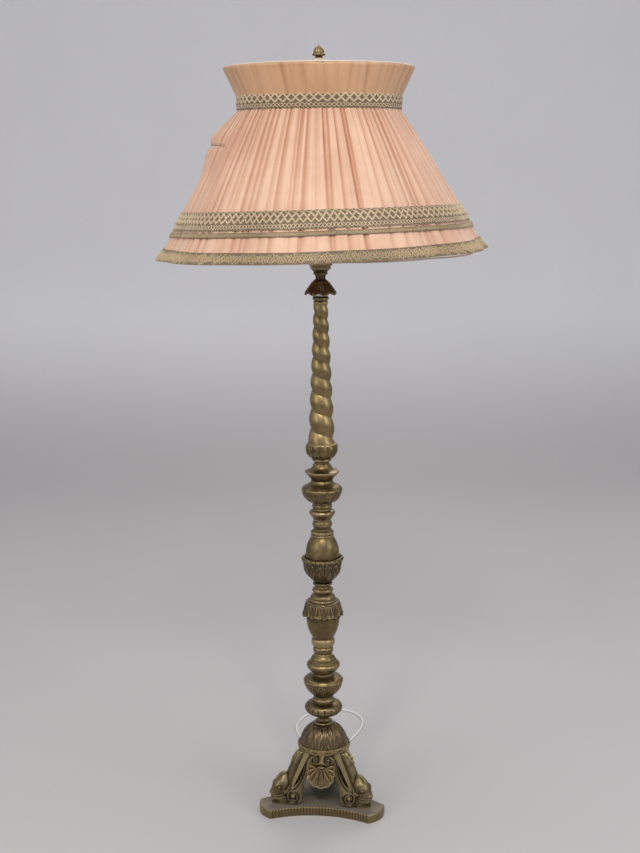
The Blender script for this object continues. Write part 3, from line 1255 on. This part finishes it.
def scroll_face(bm):
    """Half of a scrolled face: the panel, and raised ribs that curl into both volutes."""
    h, top_y = LEG_H, LEG_H - TOP_R
    outline = (
        smooth_line([(TOP_X, h), (30 * MM, h - 3 * MM), (37 * MM, h - 18 * MM), (43 * MM, h * 0.62),
                     (54 * MM, h * 0.44), (VOLUTE_X + 6 * MM, 2 * FOOT_R - MM)], 4)
        + arc(VOLUTE_X, FOOT_R, FOOT_R, 60, -180)
        + smooth_line([(41 * MM, h * 0.38), (33 * MM, h * 0.55), (ARCH_X, h * 0.75),
                       (ARCH_X - MM, h - 16 * MM)], 4)
        + arc(TOP_X, top_y, TOP_R, -30, -260))
    front = SCROLL_T - 2.5 * MM
    slab(bm, outline, front, bevel=1.2 * MM)
    rib = [(x * MM, y * MM) for x, y in ((-2.3, -3), (-2, 0.6), (-0.9, 2.2), (0.9, 2.2), (2, 0.6), (2.3, -3))]
    fine = [(0.7 * x, 0.7 * y) for x, y in rib]
    outer = (
        list(reversed(spiral(TOP_X, top_y, TOP_R - 2 * MM, 2.2 * MM, 90, 1.6)))
        + smooth_line([(TOP_X + 6 * MM, h - 2.2 * MM), (28 * MM, h - 5 * MM), (34.5 * MM, h - 18 * MM),
                       (40.5 * MM, h * 0.61), (51 * MM, h * 0.42), (62 * MM, 2 * FOOT_R - 2.2 * MM)])
        + spiral(VOLUTE_X, FOOT_R, FOOT_R - 2 * MM, 4 * MM, 80, -1.9))
    inner = smooth_line([(25 * MM, h - 22 * MM), (29 * MM, h * 0.74), (35 * MM, h * 0.55),
                         (43 * MM, h * 0.38), (47 * MM, FOOT_R * 1.35), (48.4 * MM, FOOT_R * 0.8),
                         (54 * MM, FOOT_R * 0.3)])
    middle = smooth_line([(31 * MM, h - 24 * MM), (34.6 * MM, h * 0.66), (40 * MM, h * 0.5),
                          (48 * MM, h * 0.37)])
    for path, section, grow in ((outer, rib, lambda t: 0.75 + 0.5 * t), (inner, rib, lambda t: 0.85),
                                (middle, fine, lambda t: 1 - 0.6 * abs(2 * t - 1))):
        sweep(bm, [(p[0], p[1], front) for p in path], section, scale=grow)
    for cx, cy, r in ((VOLUTE_X, FOOT_R, 5 * MM), (TOP_X, top_y, 3 * MM)):
        boss(bm, r, Matrix.Translation((cx, cy, front)) @ Matrix.Scale(0.8, 4, (0, 0, 1)))


BACK_LINE = smooth_line([(50 * MM, LEG_H - MM), (66 * MM, LEG_H * 0.84), (82 * MM, LEG_H * 0.6),
                         (92 * MM, LEG_H * 0.38), (94 * MM, 0)], 9)


def leg_back(bm):
    """Rounded back of a leg, with a raised rib down its middle and a leafy cuff near its top."""
    count = len(BACK_LINE)

    def place(u, v):
        i = min(count - 1, round(v * (count - 1)))
        here = BACK_LINE[i]
        ahead = (BACK_LINE[min(i + 1, count - 1)] - BACK_LINE[max(i - 1, 0)]).normalized()
        out = Vector((-ahead[1], ahead[0]))
        half = BACK_W * (0.82 + 0.18 * v)
        t = math.pi * (1 - u)
        rise = 8 * MM * math.sin(t) ** 0.8 if 0 < u < 1 else -10 * MM
        rise += 0.8 * MM * math.exp(-((u - 0.5) / 0.05) ** 2)
        if 0.1 < v < 0.34:
            leaf = leaf_height(((u * 3) % 1) * 2 - 1, (v - 0.1) / 0.24, 2.5)
            rise += (1.5 + 2.6 * leaf) * MM * math.sin(t)
        flat = here + out * rise
        return flat[0], half * math.cos(t), PLATE_T + flat[1]
    patch(bm, 36, count - 1, place)


# Rings of the head from its throat up: height, shift outwards, half length and half width, as shares
HEAD_LEVELS = [
    (0, 0, 1.05, 1), (0.1, 0, 0.95, 0.92), (0.2, 0.1, 1, 0.84), (0.29, 0.03, 0.92, 0.8),
    (0.37, 0.2, 1.16, 0.87), (0.48, 0.1, 1.08, 0.95), (0.61, -0.08, 1.03, 1), (0.75, -0.2, 0.92, 0.92),
    (0.87, -0.37, 0.66, 0.66), (0.96, -0.5, 0.37, 0.4), (1, -0.58, 0.13, 0.16)]


def on_head(x, y, height):
    """A point of the head, out from its middle and across it in head radii, and up in head heights."""
    return Vector((HEAD_X + HEAD_R * x, HEAD_R * y, PLATE_T + HEAD_H * height))


def head_ring(height, shift, long, wide, sides=36):
    """One level ring of the head, a little fuller at the brows."""
    places = []
    for k in range(sides):
        t = TAU * k / sides
        from_front = t if t < math.pi else TAU - t
        full = 1 + 0.1 * math.exp(-((height - 0.66) / 0.05) ** 2) * math.exp(-((from_front - 0.7) / 0.4) ** 2)
        places.append(on_head((shift + long * math.cos(t)) * full,
                              wide * math.sin(t) * (1 - 0.15 * math.cos(t)) * full, height))
    return places


def dolphin_head(bm):
    """Head that stands on its throat and looks outwards: snout, brow, eyes, lips, cheek fins and a crest."""
    edges = None
    for level in smooth_line(HEAD_LEVELS, 4):
        if edges is None:
            edges = line_mesh(bm, head_ring(*level), True)[1]
            bmesh.ops.contextual_create(bm, geom=edges)
        else:
            edges = next_ring(bm, edges, head_ring(*level))
    bmesh.ops.contextual_create(bm, geom=edges)
    for s in (-1, 1):
        sideways = Vector((0, s, 0))
        boss(bm, HEAD_R * 0.2, Matrix.Translation(on_head(0.42, 0.76 * s, 0.6)))
        lid = [on_head(0.42 + 0.3 * math.cos(t), s * (0.9 - 0.22 * math.cos(t)), 0.6 + 0.075 * math.sin(t))
               for t in [TAU * i / 16 for i in range(16)]]
        sweep(bm, lid, round_section(MM), closed=True, up=sideways)
        fin = [on_head(-0.1 - 0.75 * t, s * (0.93 + 0.1 * math.sin(math.pi * t)), 0.42 + 0.16 * t * t)
               for t in [i / 6 for i in range(7)]]
        for k in (-1, 0, 1):
            sweep(bm, [p + Vector((0, 0, k * 3.6 * MM * (0.4 + i / 8))) for i, p in enumerate(fin)],
                  round_section(1.9 * MM), scale=lambda t: 1 - 0.75 * t, up=sideways)
    for level, grow in ((0.335, 1.0), (0.255, 0.94)):
        lip = [on_head(0.12 + 1.02 * grow * math.cos(t), 0.86 * grow * math.sin(t),
                       level - 0.02 * math.cos(t)) for t in [math.radians(-105 + 15 * i) for i in range(15)]]
        sweep(bm, lip, round_section(1.7 * MM, 8), scale=lambda t: math.sin(math.pi * (0.12 + 0.76 * t)))
    crest = smooth_line([on_head(x, 0, z) for x, z in (
        (0.5, 0.8), (-0.1, 0.97), (-0.62, 1), (-0.98, 0.9), (-0.92, 0.78), (-0.74, 0.8))])
    sweep(bm, crest, round_section(2.6 * MM, 8, 1.3), scale=lambda t: 1.1 - 0.6 * t, up=Vector((0, 1, 0)))
    for s in (-1, 1):
        side = [p + Vector((-1.5 * MM, s * 3.4 * MM, -3 * MM)) for p in crest[4:-6]]
        sweep(bm, side, round_section(1.8 * MM, 6, 1.2), scale=lambda t: math.sin(math.pi * (0.15 + 0.8 * t)),
              up=Vector((0, 1, 0)))


# Corners in mm of the block inside a leg, at the band and low down
LEG_CORE = [[(22, 6), (44, 22), (54, 10), (54, -10), (44, -22), (22, -6)],
            [(76, 16), (88, 18), (96, 10), (96, -10), (88, -18), (76, -16)]]


def leg_core(bm):
    """Block between a leg's two faces and its back, from low down up to the band."""
    rings = [line_mesh(bm, [(x * MM, y * MM, PLATE_T + z) for x, y in end], True)[1]
             for end, z in zip(LEG_CORE, (LEG_H, LEG_H * 0.3))]
    bmesh.ops.bridge_loops(bm, edges=rings[0] + rings[1])
    for edges in rings:
        bmesh.ops.contextual_create(bm, geom=edges)


def scroll_leg(materials, number, turn):
    bm = bmesh.new()
    side = rotation(30) @ face_matrix()
    for place in (side, Matrix.Scale(-1, 4, (0, 1, 0)) @ side):
        start = set(bm.verts)
        scroll_face(bm)
        moved(bm, place, start)
    leg_core(bm)
    leg_back(bm)
    dolphin_head(bm)
    for v in bm.verts:
        v.co.z = min(max(v.co.z, PLATE_T), PLATE_T + LEG_H)
    moved(bm, rotation(turn))
    piece("scroll_leg_%d_cast" % number, bm, "stand", materials["foot"],
          ["scroll_leg_%d" % number])


SHELL_W = 64 * MM
SHELL_H = 49 * MM
SHELL_RIBS = 9
SHELL_T = 6 * MM
SHELL_DROP = 8 * MM
SHELL_SPREAD = 234
SHELL_ARCH = 1.2 * MM
# The web behind a shell: half its width, its foot above the plate, and its thickness
WEB_W = 26 * MM
WEB_LOW = 0.66 * LEG_H
WEB_T = 3 * MM


def scallop_shell(materials, number, turn):
    """Dished shell with round ribs, a scalloped rim and a bar at its hinge, on a web between two scrolls."""
    bm = bmesh.new()

    def place(u, v):
        side = 2 * u - 1
        a = math.radians(side * SHELL_SPREAD / 2)
        wave = abs(math.sin(SHELL_RIBS * math.pi * u))
        r = SHELL_W / 2 + (SHELL_H - SHELL_DROP - SHELL_W / 2) * max(0, math.cos(a)) ** 1.5
        r *= 0.93 + 0.07 * wave ** 0.7
        root = Vector((side * SHELL_W / 6, SHELL_DROP - SHELL_ARCH * side * side))
        rim = Vector((r * math.sin(a), -r * math.cos(a)))
        p = root.lerp(rim, v)
        bowl = 1.4 * MM + (SHELL_T - 1.6 * MM) * max(0, (v - 0.16) / 0.84) ** 1.3
        ribs = 2.8 * MM * (wave ** 0.55 - 0.62) * min(1, 2.2 * v) * min(1, 6 * (1.04 - v))
        bar = 3.4 * MM * max(0, 1 - (v / 0.11) ** 4)
        return p.x, p.y, bowl + ribs + bar
    patch(bm, 144, 34, place)
    boundary = [e for e in bm.edges if len(e.link_faces) == 1]
    for v in verts_in(bmesh.ops.extrude_edge_only(bm, edges=boundary)["geom"]):
        v.co.z = 0
    bmesh.ops.contextual_create(bm, geom=[e for e in bm.edges if len(e.link_faces) == 1])
    moved(bm, Matrix.Translation((0, LEG_H - 26 * MM - SHELL_DROP, SCROLL_T)))
    shell = set(bm.verts)
    slab(bm, [(-WEB_W, WEB_LOW), (WEB_W, WEB_LOW), (WEB_W, LEG_H), (-WEB_W, LEG_H)], WEB_T)
    moved(bm, Matrix.Translation((0, 0, -WEB_T)), shell)
    moved(bm, rotation(turn) @ face_matrix())
    piece("scallop_shell_%d" % number, bm, "stand", materials["brass"],
          ["shell_%d" % number], sharp=math.radians(55))


# ---- frame nodes that stay ------------------------------------------------------------

def finish_nodes(materials):
    """Finishes for the CAD nodes that show as they are."""
    kept = {
        "steel": ["stem_tube", "base_nut"],
        "bushing": ["cord_bushing"],
        "cord": ["inner_flex"],
        "brass": ["cluster_body", "lamp_arms", "riser_tube", "shade_nut"],
        "bright": ["holder_caps", "holder_shells", "pull_left", "pull_right"],
        "wire": ["shade_spider", "waist_ring", "shade_ribs", "hem_ring"],
    }
    for key, names in kept.items():
        for name in names:
            mesh = NODES[name].data
            mesh.materials.clear()
            mesh.materials.append(materials[key])


# ---- floor and light --------------------------------------------------------------------

def studio():
    """Pale floor that sweeps up behind the lamp, soft lamps and an even sky."""
    bm = bmesh.new()
    reach_out, back, rise, bend = 9.0, 4.2, 5.0, 1.2
    curve = [(-reach_out, 0.0), (back - bend, 0.0)]
    curve += [(back - bend + bend * math.sin(t), bend - bend * math.cos(t)) for t in
              [math.radians(9 * i) for i in range(1, 11)]]
    curve.append((back, rise))
    edges = line_mesh(bm, [(-reach_out, y, z) for y, z in curve])[1]
    made = bmesh.ops.extrude_edge_only(bm, edges=edges)["geom"]
    bmesh.ops.translate(bm, vec=(2 * reach_out, 0, 0), verts=verts_in(made))
    bmesh.ops.recalc_face_normals(bm, faces=bm.faces)
    for f in bm.faces:
        f.smooth = True
    mesh = bpy.data.meshes.new("studio_floor")
    bm.to_mesh(mesh)
    bm.free()
    floor = bpy.data.objects.new("studio_floor", mesh)
    floor.matrix_world = rotation(CAMERA_AZIMUTH)
    bpy.context.scene.collection.objects.link(floor)
    material, g, shader = new_material("pale_floor")
    place = g.add("ShaderNodeTexCoord").outputs["Object"]
    height = g.add("ShaderNodeSeparateXYZ")
    g.set(height.inputs[0], place)
    plain = g.mix(g.ramp(height.outputs["Z"], 0.0, 0.7), (0.56, 0.54, 0.545), (0.93, 0.92, 0.95))
    cloudy = g.math("MULTIPLY", g.noise(place, 3, 3), 0.12)
    g.set(shader.inputs["Base Color"], g.mix(cloudy, plain, (0.5, 0.48, 0.48)))
    shader.inputs["Roughness"].default_value = 0.9
    mesh.materials.append(material)

    world = bpy.data.worlds.new("studio_sky")
    bpy.context.scene.world = world
    world.use_nodes = True
    g = Graph(world.node_tree)
    ground = world.node_tree.nodes["Background"]
    path = g.add("ShaderNodeLightPath").outputs
    mirrored = g.math("MAXIMUM", path["Is Glossy Ray"], path["Is Transmission Ray"])
    seen = g.math("MAXIMUM", path["Is Camera Ray"], mirrored)
    ground.inputs["Color"].default_value = (0.93, 0.95, 1.0, 1)
    g.set(ground.inputs["Strength"], g.blend(seen, 0.42, 0.85))

    # Place in metres, power in watts, size in metres and colour
    warm, cool, white, aim = (1.0, 0.96, 0.9), (0.95, 0.97, 1.0), (1, 1, 1), Vector((0, 0, 0.9))
    lamps = {
        "key": ((-0.7, -2.3, 3.1), 17, 0.4, warm),
        "middle": ((0.0, -2.4, 3.3), 13, 0.35, warm),
        "right": ((0.55, -2.3, 3.0), 13, 0.35, warm),
        "soft": ((-2.2, -1.9, 2.0), 14, 1.5, warm),
        "fill": ((2.4, -1.6, 1.9), 18, 1.5, cool),
        "back": ((0.6, 2.6, 2.7), 20, 1.2, warm),
        "top": ((0.0, 0.0, 3.6), 12, 1.6, white),
    }
    for name, (place, power, size, colour) in lamps.items():
        light = bpy.data.lights.new(name, "AREA")
        light.energy, light.size, light.color = power, size, colour
        lamp = bpy.data.objects.new(name, light)
        lamp.location = rotation(CAMERA_AZIMUTH, size=3) @ Vector(place)
        lamp.rotation_euler = (aim - lamp.location).to_track_quat("-Z", "Y").to_euler()
        bpy.context.scene.collection.objects.link(lamp)


# ---- the lamp ---------------------------------------------------------------------------


def build():
    bpy.context.scene.view_settings.view_transform = "Standard"
    photo_camera()
    materials = make_materials()
    mains_cord(materials, mains_plug(materials) + [NODES["cord_bushing"]])
    finish_nodes(materials)
    silk_skirt(materials)
    silk_collar(materials)
    shade_trim(materials)
    turned_pieces(materials)
    cast_pieces(materials)
    drip_pan(materials)
    column(materials)
    octagon_cup(materials)
    ribbon_band(materials)
    acorn_finial(materials)
    for side in ("left", "right"):
        bulb(materials, side)
    base_plate(materials)
    for number, turn in enumerate((-30, 90, 210), 1):
        scroll_leg(materials, number, turn)
    for number, turn in enumerate((0, 120, 240), 1):
        scallop_shell(materials, number, turn)
    studio()


build()
